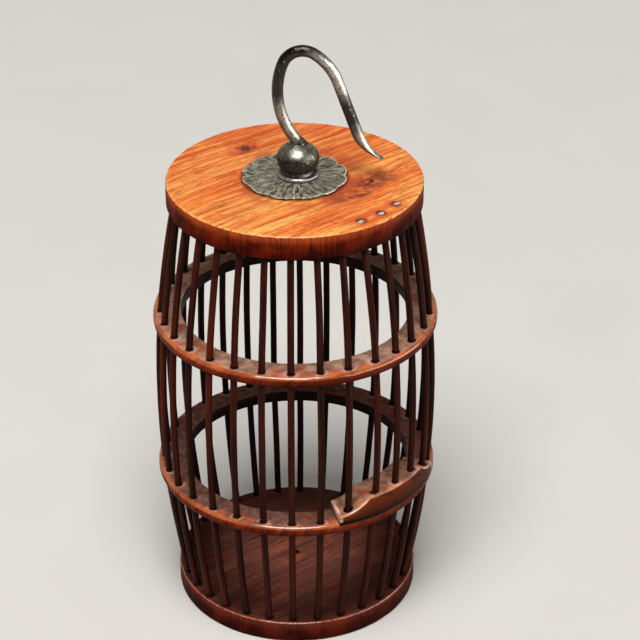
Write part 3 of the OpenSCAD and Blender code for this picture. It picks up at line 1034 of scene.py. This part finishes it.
def scooped(reach, turn):
    """How far the top of the block is cut down at a place."""
    run = reach * math.sin(abs(turn) - scoop_turn)
    if run <= 0:
        return 0.0
    return math.sqrt(scoop_radius ** 2 - (run - scoop_middle) ** 2) - scoop_height


def block_outline(turn):
    """Section of the block at a turn from its middle."""
    outer = block_outer - door_edge_round
    low_edge = arc((outer, door_foot_low + door_edge_round), door_edge_round, -90, 0, 4)
    top_edge = arc((outer, door_foot_top - door_edge_round), door_edge_round, 0, 90, 4)
    flat = [block_inner + (block_outer - block_inner) * share for share in (0.8, 0.6, 0.4, 0.2)]
    inner = (block_inner + door_inner_round, door_foot_top - door_inner_round)
    top = top_edge + [(reach, door_foot_top) for reach in flat] + arc(inner, door_inner_round, 90, 180, 3)
    cut = [(reach, height - scooped(reach, turn)) for reach, height in top]
    return [(block_inner, door_foot_low)] + low_edge + cut


block_points = []
for step in range(block_steps + 1):
    turn = block_half * (2 * step / block_steps - 1)
    block_points += stood(block_outline(turn), door_middle + turn)
section = len(block_outline(0))
block_faces = [list(range(section)), [block_steps * section + i for i in reversed(range(section))]]
block_faces += row_faces(block_steps + 1, section, ring=True, all_round=False)
door_block = mesh_piece("door_block", block_points, block_faces)
rounding = door_block.modifiers.new("Edges", "BEVEL")
rounding.width = end_round
rounding.segments = 3
rounding.limit_method = "ANGLE"
rounding.angle_limit = math.radians(48)
made_plain(door_block)
rod_foot = door_foot_top - bar_set
above_block = door_foot_top + bar_set
below_block = door_foot_low - bar_set
block_holes = [door_hole(side, rod_foot, above_block, hole_gap) for side in door_sides]
block_holes += [bar_hole(number, below_block, above_block, guide_gap) for number in guide_numbers]
drilled(door_block, block_holes)
smooth(door_block)


def block_rub_and_highlight(place, edge):
    """The ends of the block and the outer edge of its scoops, where thumbs lift it. Their pale tone is partly wear and
    partly painted light.
    """
    turn = door_turn(place)
    facing = upward(place)
    end = turn.rise(block_half - 0.03, block_half - 0.012) * facing.rise(-0.5, 0.1)
    rim = from_axis(place).rise(block_outer / MM - 1.2, block_outer / MM - 0.5)
    scoop = turn.rise(scoop_turn - 0.01, scoop_turn + 0.02) * facing.rise(0.15, 0.4) * rim
    return (edge * 0.35).larger(end.larger(scoop) * 1.4)


def block_seam_shade(place):
    """Painted shade in the seam between door and hoop."""
    return place.split()[2].rise(door_foot_low / MM + 1.2, door_foot_low / MM + 0.5)


block_grain_turn = math.radians(30)
block_slopes = (0.55, 0.85)
# Painted shade for the block's sides
block_painted_shade = (46, 28, 18)
# Tone of the bare ends and scoop edges: partly wear, partly painted light
block_wear_and_highlight = (244, 192, 156)
block_dust = ((116, 82, 68), (172, 130, 106))
block_wood = hoop_wood("Door block wood", block_grain_turn, block_outer, door_foot_top,
                       block_rub_and_highlight, block_seam_shade, block_slopes, block_painted_shade, block_wear_and_highlight, block_dust)
fitted(door_block, block_wood, "door", "hoop_wood", "door_foot")
rod_steps = 50
rod_heights = [rod_foot + (lid_top - rod_foot) * i / rod_steps for i in range(rod_steps + 1)]
rod_routes = [[door_bar_point(side, height) for height in rod_heights] for side in door_sides]
door_rods = grown("door_rods", rod_routes, bar_stock, bar_sizes)
smooth(door_rods, bar_sharp)
fitted(door_rods, dark_wood, "door", "bar_wood", "door_bar_1", "door_bar_2", "door_bar_3")

# Rosette: a thin iron plate under the hook, cut to twelve lobes by hand, with a line engraved
# inwards from each notch. Its edge has been rubbed bright, partly as a painted highlight.
rosette_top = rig.box("rosette")[1].z
rosette_radius = 20.8 * MM
lobe_count = 12
lobe_depth = 1.2 * MM
lobe_half = math.pi / lobe_count
notch_radius = rosette_radius - lobe_depth
lobe_spread = 2 * (rosette_radius - notch_radius * math.cos(lobe_half))
lobe_middle = (rosette_radius ** 2 - notch_radius ** 2) / lobe_spread
lobe_radius = rosette_radius - lobe_middle
line_depth = 0.16 * MM
line_width = 0.35 * MM
petal_start = 9 * MM
petal_run = 6 * MM
petal_swell = 0.12 * MM
vein_depth = 0.035 * MM
vein_length = 9 * MM
vein_count = 26
dent_depth = 0.06 * MM
dent_length = 3.5 * MM
rim_wander = 0.28 * MM
rim_waves = 2.3
slit_depth = 0.9 * MM
slit_half = 0.05
rim_bevel = 0.12 * MM
rim_round = 0.25 * MM
undercut = 0.6 * MM
undercut_top = lid_top + 0.4 * MM
centring_run = 4 * MM
plate_steps = 480
bore = pin_width / 2 + pin_gap


def from_notch(turn):
    """Turn away from the nearest notch of the plate."""
    return abs((turn + lobe_half) % (2 * lobe_half) - lobe_half)


def lobe_reach(turn):
    """Distance of the plate's edge from its middle: round lobes, cut a little unevenly."""
    off = lobe_half - from_notch(turn)
    reach = lobe_middle * math.cos(off) + math.sqrt(lobe_radius ** 2 - (lobe_middle * math.sin(off)) ** 2)
    wander = rim_wander * noise.noise(Vector((rim_waves * math.cos(turn), rim_waves * math.sin(turn), 0.4)))
    slit = slit_depth * math.exp(-((turn - math.pi) / slit_half) ** 2)
    return reach + wander - slit


def plate_height(reach, turn):
    """Top of the plate: petals swell a little between the engraved lines."""
    off = from_notch(turn)
    across = Vector((math.cos(turn), math.sin(turn), 0))
    share = min(1.0, max(0.0, (reach - petal_start) / petal_run))
    line = math.exp(-(off * reach / line_width) ** 2) * line_depth
    swell = petal_swell * math.sin(math.pi * off / (2 * lobe_half))
    vein = vein_depth * noise.noise(across * vein_count + Vector((0, 0, reach / vein_length)))
    dent = dent_depth * noise.noise(across * reach / dent_length)
    return rosette_top + share * (swell - petal_swell - line + dent + vein)


plate_shares = (0.0, 0.1, 0.2, 0.3, 0.4, 0.48, 0.55, 0.62, 0.68, 0.74, 0.79, 0.84, 0.88, 0.92, 0.95, 0.975)
plate_points = []
for step in range(plate_steps):
    turn = 2 * math.pi * step / plate_steps
    edge = lobe_reach(turn)
    reaches = [bore + (edge - bore) * share for share in plate_shares]
    outline = [(reach, plate_height(reach, turn)) for reach in reaches]
    rim_top = outline[-1][1]
    outline += [(edge - rim_bevel, rim_top - rim_bevel / 2), (edge, rim_top - rim_round),
                (edge, undercut_top), (edge - undercut + 0.1 * MM, undercut_top - 0.1 * MM),
                (edge - undercut, lid_top), (bore, lid_top)]
    for reach, (x, y, height) in zip([reach for reach, height in outline], stood(outline, turn)):
        off_middle = pin_place.x * max(0, 1 - (reach - bore) / centring_run)
        plate_points.append((x + off_middle, y, height))
plate_faces = row_faces(plate_steps, len(outline), ring=True)
rosette_plate = mesh_piece("rosette_plate", plate_points, plate_faces)
smooth(rosette_plate)


def worn_iron(name, tones, metal, rough, rub, spread=None):
    """Old iron: dark patina in patches, fine pits, painted shade on what faces down, where it is
    also less metallic and rougher, and bright metal where hands have worn it, which on the hook and
    on the rim of the rosette is partly a painted highlight. rub gives the bright share from the
    place on the piece, and spread, if there is one, the place in which the patina is laid out."""
    dark, main, brown, bright = tones
    finish, shader, place = new_finish(name)
    laid_out = spread(place) if spread else place.sized(2, 2, 2)
    patina = laid_out.noise(5.0, 0.7)
    cloud = place.blotches(8)
    pits = place.blotches(0.45, 2.0, 0.6)
    specks = place.blotches(0.8, 1.0).rise(0.66, 0.74)
    facing = upward(place)
    bare = rub(place) * (0.45 + 0.55 * patina.rise(0.40, 0.56)) * facing.rise(-0.6, 0.2)
    handled_and_highlight = bare.math("MINIMUM", bare, 1)
    # Painted shade on what faces down, also less metallic and rougher there
    painted_shade_below = facing.rise(0.4, -0.25) * (1 - handled_and_highlight)
    colour = patina.rise(0.39, 0.61).tones(dark, main).layered(
        (brown, cloud.rise(0.44, 0.66) * 0.6),
        ((24, 21, 17), pits.rise(0.54, 0.70) * 0.7),
        (bright, specks * 0.6),
        ((17, 16, 13), painted_shade_below * 0.9),
        # Bright metal where hands wore it; on the hook and the rosette's rim partly a painted highlight
        (bright, handled_and_highlight * (1 - pits.rise(0.62, 0.78))),
    )
    pitted = pits.rise(0.5, 0.75)
    roughness = rough + patina * 0.14 + (1 - handled_and_highlight) * pitted * 0.2 - handled_and_highlight * 0.1 + painted_shade_below * 0.15
    relief = (patina * 0.5 - pitted * 0.8) * (1 - handled_and_highlight * 0.85)
    feed(shader, base_color=colour, metallic=metal - painted_shade_below * 0.8 * metal, roughness=roughness,
         normal=relief.bumped(0.06 * MM, 0.5))
    return finish


def plate_rub_and_highlight(place):
    """The rim of the plate, rubbed bright and partly a painted highlight, and the engraved line at the front."""
    x, y = place.split()[:2]
    turns = turn_of(place) / (2 * lobe_half)
    off = 0.5 - abs(turns - round(turns))
    lobes = rosette_radius / MM - abs(off) ** 2 * (4 * lobe_depth / MM)
    rim = (from_axis(place) - lobes).rise(-0.8, -0.3) * upward(place).rise(0.3, 0.7)
    front = (x * x).rise(0.12, 0.02) * y.rise(-10.5, -12.5)
    return rim.larger(front * 1.3)


def plate_spread(place):
    """Round the plate and outwards, so that its patina lies along the petals."""
    return place.joined(turn_of(place) * 12, from_axis(place) / 4, 0.0)


plate_tones = ((46, 44, 37), (206, 198, 176), (116, 110, 90), (255, 240, 200))
plate_iron = worn_iron("Rosette iron", plate_tones, 0.6, 0.34, plate_rub_and_highlight, plate_spread)
fitted(rosette_plate, plate_iron, "cage", "iron", "rosette")

# Collar: a stepped iron ring on the rosette, on which the bead turns. It was turned with a
# round flange and a raised seat.
collar_radius = (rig.box("collar")[1].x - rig.box("collar")[0].x) / 2
collar_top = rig.box("collar")[1].z
collar_steps = 160
flange_height = 1.7 * MM
flange_round = 0.8 * MM
seat_radius = 5.9 * MM
seat_round = 0.3 * MM
groove_radius = 0.3 * MM
groove_middle = seat_radius + 0.5 * MM
groove_drop = 0.05 * MM
groove_edge = seat_radius + 0.9 * MM
flange_top = rosette_top + flange_height


def moved(piece, offset):
    """Puts an offset into the mesh of a piece, so that its object stays at the origin."""
    piece.data.transform(Matrix.Translation(offset))


collar_outline = (
    [(bore, rosette_top)]
    + arc((collar_radius - flange_round, rosette_top + flange_round), flange_round, -90, 0, 6)
    + arc((collar_radius - flange_round, flange_top - flange_round), flange_round, 0, 90, 6)
    + [(groove_edge, flange_top)]
    + arc((groove_middle, flange_top - groove_drop), groove_radius, 0, -180, 5)
    + [(seat_radius, flange_top + groove_radius)]
    + arc((seat_radius - seat_round, collar_top - seat_round), seat_round, 0, 90, 4)
    + [(bore, collar_top)]
)
collar_ring = turned("collar_ring", collar_outline, collar_steps, ring=True)
moved(collar_ring, pin_axis)
smooth(collar_ring)


def collar_rub(place):
    """The round edge of the flange."""
    centred = place.vector("SUBTRACT", (pin_place.x / MM, 0, 0))
    return from_axis(centred).rise(collar_radius / MM - 1.0, collar_radius / MM - 0.3) * 0.7


collar_tones = ((60, 57, 50), (124, 120, 110), (84, 77, 66), (206, 202, 192))
collar_iron = worn_iron("Collar iron", collar_tones, 0.8, 0.3, collar_rub)
fitted(collar_ring, collar_iron, "cage", "iron", "collar")

# Pin and washer: the pin that the hook turns on goes down through the lid, and its end is
# hammered over a plain iron washer. They show only from below.
washer_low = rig.box("washer")[0].z
washer_radius = (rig.box("washer")[1].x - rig.box("washer")[0].x) / 2
washer_edge = 0.25 * MM
washer_steps = 96
washer_outline = (
    [(bore, washer_low)]
    + arc((washer_radius - washer_edge, washer_low + washer_edge), washer_edge, -90, 0, 4)
    + arc((washer_radius - washer_edge, lid_underside - washer_edge), washer_edge, 0, 90, 4)
    + [(bore, lid_underside)]
)
under_washer = turned("under_washer", washer_outline, washer_steps, ring=True)
moved(under_washer, pin_axis)
smooth(under_washer)
pin_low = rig.box("swivel_pin")[0].z
pin_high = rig.box("swivel_pin")[1].z
pin_steps = 64
head_radius = 3.4 * MM
head_top = pin_low + 1.8 * MM
head_rise = 0.9 * MM
head_edge = 0.2 * MM
hammer_depth = 0.12 * MM
hammer_length = 1.4 * MM
head_turns = [math.radians(90 * i / 8) for i in range(1, 9)]
pin_outline = (
    [(head_radius * math.sin(turn), pin_low + head_rise * (1 - math.cos(turn))) for turn in head_turns]
    + [(head_radius, head_top - head_edge), (head_radius - head_edge, head_top)]
    + [(pin_width / 2, head_top), (pin_width / 2, pin_high)]
)
pivot_pin = turned("pivot_pin", pin_outline, pin_steps)
for point in pivot_pin.data.vertices:
    if point.co.z < (pin_low + head_top) / 2:
        point.co.z += hammer_depth * abs(noise.noise(point.co / hammer_length))
moved(pivot_pin, pin_axis)
smooth(pivot_pin)


def head_rub(place):
    """The hammered underside of the head."""
    return upward(place).rise(-0.5, -0.95) * 0.5


hidden_tones = ((60, 55, 48), (104, 99, 90), (84, 62, 44), (160, 156, 148))
hidden_iron = worn_iron("Pin iron", hidden_tones, 0.9, 0.32, head_rub)
fitted(under_washer, hidden_iron, "cage", "iron", "washer")
fitted(pivot_pin, hidden_iron, "hook", "iron", "swivel_pin")

# Bead: a forged iron ball, a little flattened, with a flat foot that turns on the collar. The
# pin is set in it from below and the wire of the hook from above.
bead_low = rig.box("bead")[0].z
bead_width = 16.6 * MM
bead_height = 13.6 * MM
bead_side = 5.5 * MM
bead_foot = 12.6 * MM
bead_steps = 160
bead_dents = 0.09 * MM
bead_dent_length = 3 * MM
foot_edge = bead_low + 0.3 * MM
ring_reach = bead_width / 2 - bead_side
ring_rise = bead_height / 2 - bead_side
cap_drop = (ring_reach ** 2 - ring_rise ** 2) / (2 * ring_rise)
cap_radius = bead_height / 2 + cap_drop
cap_meet = math.degrees(math.atan2(cap_drop, ring_reach))
foot_turn = math.degrees(math.asin(bead_foot / 2 / cap_radius))
bead_middle = bead_low + math.sqrt(cap_radius ** 2 - bead_foot ** 2 / 4) - cap_drop
bead_outline = (
    arc((0, bead_middle + cap_drop), cap_radius, -90 + foot_turn, -cap_meet, 8)
    + arc((ring_reach, bead_middle), bead_side, -cap_meet, cap_meet, 24)[1:]
    + arc((0, bead_middle - cap_drop), cap_radius, cap_meet, 89, 24)[1:]
)
hook_bead = turned("hook_bead", bead_outline, bead_steps)
for point in hook_bead.data.vertices:
    if point.co.z > foot_edge:
        point.co += point.normal * bead_dents * noise.noise(point.co / bead_dent_length)
moved(hook_bead, pin_axis)
smooth(hook_bead)


def bead_rub(place):
    """The top of the bead, where fingers turn it."""
    return upward(place).rise(0.25, 0.85) * 0.65


bead_tones = ((29, 26, 21), (80, 75, 63), (58, 50, 35), (196, 191, 178))
bead_iron = worn_iron("Bead iron", bead_tones, 0.95, 0.33, bead_rub)
fitted(hook_bead, bead_iron, "hook", "iron", "bead")

# Hook: iron wire, forged round, bent over the horn and drawn out to a flat, turned-out point.
# Its foot is brazed into the bead. Foot, shoulder and point are worn bright, partly painted highlight.
wire_width = 4.5 * MM
wire_sides = 28
wire_sharp = 45
wire_lean = 36.5
wire_set = 5 * MM
wire_dents = 0.07 * MM
wire_dent_length = 2.6 * MM
fillet_above = 1.6 * MM
fillet_below = 0.4 * MM
fillet_swell = 0.16
neck_length = 2.3 * MM
neck_bend = (32.5 * MM, 57)
crown_bend = (8.1 * MM, 103.5)
shoulder_bend = (23 * MM, 36.5)
limb_length = 22.4 * MM
point_bend = (19 * MM, -46)
point_thick = 1.3 * MM
point_width = 3.2 * MM
wire_step = 0.7 * MM
bead_crown = bead_middle + bead_height / 2


def wire_route():
    """Points of the wire's middle line, in the upright plane of the hook, from root to tip. Its
    stages are straight runs, as (0, length), and bends, as (radius, degrees)."""
    lean = math.radians(-wire_lean)
    here = Vector((pin_place.x - wire_set * math.sin(lean), 0, bead_crown - wire_set * math.cos(lean)))
    route = [here.copy()]
    stages = [(0, wire_set + neck_length), neck_bend, crown_bend, shoulder_bend, (0, limb_length), point_bend]
    for radius, run in stages:
        length = run if radius == 0 else radius * math.radians(abs(run))
        steps = max(2, round(length / wire_step))
        for step in range(steps):
            turn = 0 if radius == 0 else math.radians(run) / steps
            lean += turn / 2
            chord = length / steps if radius == 0 else 2 * radius * math.sin(abs(turn) / 2)
            here = here + Vector((math.sin(lean), 0, math.cos(lean))) * chord
            lean += turn / 2
            route.append(here.copy())
    return route


def wire_tree():
    """Wire along a path, hammered flat towards its end, with a fillet at its root."""
    tree, (path, width, sides, thin, broad, drawn, fillet, dents, iron) = new_tree("Forged wire", {
        "Path": "Geometry", "Width": "Float", "Sides": "Int", "Point Thickness": "Float",
        "Point Width": "Float", "Drawn Share": "Float", "Fillet": "Float", "Dents": "Float",
        "Iron": "Material"})
    start = Value(tree)
    share = start.node("GeometryNodeSplineParameter", None, None, "Factor")
    length = start.node("GeometryNodeSplineParameter", None, None, "Length")
    place = start.node("GeometryNodeInputPosition")
    path = stored(path, "middle", place)
    path = stored(path, "run", place.joined(share, length, 0.0))
    wire = swept(path, circle(start, sides, width))
    middle = recalled(start, "middle")
    share, length = recalled(start, "run").split()[:2]
    flat = share.rise(1 - drawn, 1.0)
    swell = 1 + length.rise(fillet + fillet_above, fillet - fillet_below) * fillet_swell
    in_plane = (1 + (thin / width - 1) * flat) * swell
    sideways = (1 + (broad / width - 1) * flat) * swell
    off = place.vector("SUBTRACT", middle).vector("MULTIPLY", place.joined(in_plane, sideways, in_plane))
    shaped = {"Geometry": wire, "Position": off.vector("ADD", middle)}
    wire = wire.node("GeometryNodeSetPosition", None, shaped)
    hammered = (place.blotches(wire_dent_length) - 0.5) * 2 * dents
    return finish_tree(tree, raised(wire, hammered), iron)


def hook_rub_and_highlight(place):
    """The flat point, and a little of the foot and the shoulder, worn bright and partly a painted highlight."""
    run = place.node("ShaderNodeAttribute", {"attribute_name": "run"}, None, "Vector").split()[0]
    foot = run.rise(0.04, 0.08) * run.rise(0.26, 0.18) * 0.5
    shoulder = run.rise(0.46, 0.55) * run.rise(0.74, 0.64) * 0.7
    tip = run.rise(0.80, 0.92) * 0.8 + run.rise(0.965, 0.985) * 3
    return foot + shoulder + tip


hook_tones = ((32, 29, 23), (60, 56, 46), (48, 42, 31), (220, 214, 200))
hook_iron = worn_iron("Hook iron", hook_tones, 0.95, 0.22, hook_rub_and_highlight)
hook_route = wire_route()
wire_length = sum((b - a).length for a, b in zip(hook_route, hook_route[1:]))
drawn_share = point_bend[0] * math.radians(-point_bend[1]) / wire_length
wire_sizes = {"Width": wire_width, "Sides": wire_sides, "Point Thickness": point_thick,
              "Point Width": point_width, "Drawn Share": drawn_share, "Fillet": wire_set,
              "Dents": wire_dents, "Iron": hook_iron}
hook_wire = grown("hook_wire", [hook_route], wire_tree(), wire_sizes)
smooth(hook_wire, wire_sharp)
fitted(hook_wire, hook_iron, "hook", "iron", "hook")

# Studio: a plain pale floor that curves up far behind, a large soft light high above and a little
# to the front, weak ones behind and at the left, one at the right that only gives sheen, and the
# camera at the photograph's angle.
floor_drop = 0.1 * MM
floor_flat = 4.5
floor_cove = 1.5
wall_height = 4.0
floor_steps = 96
floor_outline = [(floor_flat + floor_cove, wall_height)]
floor_outline += arc((floor_flat, floor_cove - floor_drop), floor_cove, 0, -90, 12)
section = len(floor_outline)
floor_points = []
for step in range(floor_steps):
    floor_points += stood(floor_outline, 2 * math.pi * step / floor_steps)
floor_faces = row_faces(floor_steps, section, ring=False)
floor_faces.append([step * section + section - 1 for step in range(floor_steps)])
floor_mesh = bpy.data.meshes.new("floor")
floor_mesh.from_pydata(floor_points, [], floor_faces)
floor_mesh.shade_smooth()
floor = placed("floor", floor_mesh)
floor_finish, floor_shader, floor_place = new_finish("Pale floor")
floor_tone = floor_place.blotches(60).tones((214, 211, 205), (220, 217, 211))
feed(floor_shader, base_color=floor_tone, roughness=0.8, specular_ior_level=0.0)
floor_mesh.materials.append(floor_finish)
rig.stage(floor)


def soft_light(name, place, aim, width, height, power, sheen_only=False):
    """Flat light that faces an aim. One for sheen only shows in gloss and lights nothing else."""
    lamp = bpy.data.lights.new(name, "AREA")
    lamp.shape = "RECTANGLE"
    lamp.size = width
    lamp.size_y = height
    lamp.energy = power
    holder = placed(name, lamp)
    holder.visible_diffuse = not sheen_only
    holder.location = place
    holder.rotation_euler = (Vector(aim) - Vector(place)).to_track_quat("-Z", "Y").to_euler()


cage_middle = (0, 0, 0.11)
soft_light("top_light", (-0.24, -1.7, 4.29), cage_middle, 2.6, 2.6, 240)
soft_light("back_light", (0.1, 2.2, 1.25), cage_middle, 1.4, 1.4, 0.7)
soft_light("right_light", (0.98, -0.3, 0.33), (0, 0, 0.2), 1.4, 0.6, 13, sheen_only=True)
soft_light("left_light", (-1.2, -0.6, 0.5), cage_middle, 0.6, 0.6, 0.3)
world = bpy.data.worlds.new("Studio")
world.use_nodes = True
world_light = world.node_tree.nodes["Background"]
world_light.inputs["Color"].default_value = (0.92, 0.95, 1.0, 1.0)
world_light.inputs["Strength"].default_value = 0.08
bpy.context.scene.world = world
camera_data = bpy.data.cameras.new("camera")
camera_data.sensor_width = 36
camera_data.lens = 128.21
camera = placed("camera", camera_data)
camera.location = (0.00988, -0.79592, 0.58246)
camera.rotation_euler = (math.radians(60.04), 0, 0)
bpy.context.scene.camera = camera
bpy.context.scene.view_settings.view_transform = "Standard"

bpy.context.view_layer.update()
sizes = {"cad": [list(corner) for corner in cad_box], "visual": [list(corner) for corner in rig.bounds()]}
with open("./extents.json", "w") as size_file:
    json.dump(sizes, size_file)
